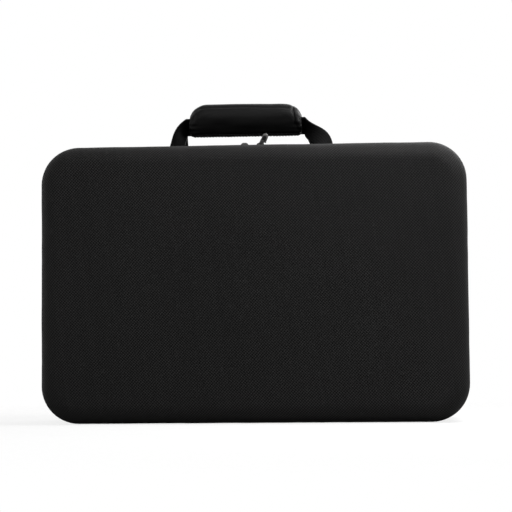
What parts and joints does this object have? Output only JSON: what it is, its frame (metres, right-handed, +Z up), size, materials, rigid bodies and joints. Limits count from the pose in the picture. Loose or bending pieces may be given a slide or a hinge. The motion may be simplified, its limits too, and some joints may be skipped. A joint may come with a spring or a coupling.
{
  "type": "console travel bag",
  "caption": "Black zipped hard-shell carrying case for a games console, with a padded webbing handle on top, a hinged lid with a net pocket and a foam tray inside",
  "frame": {"origin": "on the ground under the middle of the standing case", "axes": "+X to the right seen from the front, along the width; +Y from the front face to the rear; +Z up"},
  "size_m": [0.45, 0.19, 0.3525],
  "materials": {
    "shell_nylon": "woven nylon, matt",
    "ribbon": "ribbed ribbon",
    "zip_tape": "herringbone weave",
    "zip_coil": "moulded nylon",
    "hinge_fabric": "woven nylon",
    "webbing": "ribbed webbing",
    "foam": "flocked foam",
    "leathercloth": "fine grain, soft sheen",
    "backing_plate": "plain sheet",
    "net": "open knitted net",
    "slider_metal": "dark nickel enamel",
    "puller_rubber": "smooth moulded"
  },
  "bodies": {
    "base": {"base_shell": "shell_nylon", "base_rim_binding": "ribbon", "zip_tape_base": "zip_tape", "zip_coil_base": "zip_coil", "hinge_strip": "hinge_fabric", "handle_strap": "webbing", "handle_pad": "foam", "handle_cover": "leathercloth", "handle_backing_left": "backing_plate", "handle_backing_right": "backing_plate", "foam_tray": "foam"},
    "lid": {"lid_shell": "shell_nylon", "lid_rim_binding": "ribbon", "zip_tape_lid": "zip_tape", "zip_coil_lid": "zip_coil", "net_pocket": "net", "pocket_binding": "ribbon"},
    "slider_left": {"slider_left": "slider_metal"},
    "slider_right": {"slider_right": "slider_metal"},
    "puller_left": {"puller_link_left": "slider_metal", "puller_inlay_left": "puller_rubber"},
    "puller_right": {"puller_link_right": "slider_metal", "puller_inlay_right": "puller_rubber"}
  },
  "joints": [
    {"name": "lid_hinge", "type": "hinge", "parent": "base", "child": "lid", "pos_m": [0, -0.025, -0.0003], "axis": [1, 0, 0], "range_deg": [0, 180], "deforming": ["hinge_strip"]},
    {"name": "slider_left_run", "type": "slide", "parent": "base", "child": "slider_left", "axis": [-1, 0, 0], "range_m": [0, 0.166]},
    {"name": "slider_right_run", "type": "slide", "parent": "base", "child": "slider_right", "axis": [1, 0, 0], "range_m": [0, 0.172]},
    {"name": "puller_left_swing", "type": "hinge", "parent": "slider_left", "child": "puller_left", "pos_m": [-0.0116, -0.025, 0.2961], "axis": [0, 1, 0], "range_deg": [0, 100]},
    {"name": "puller_right_swing", "type": "hinge", "parent": "slider_right", "child": "puller_right", "pos_m": [0.0056, -0.025, 0.2961], "axis": [0, 1, 0], "range_deg": [-33, 67]}
  ]
}
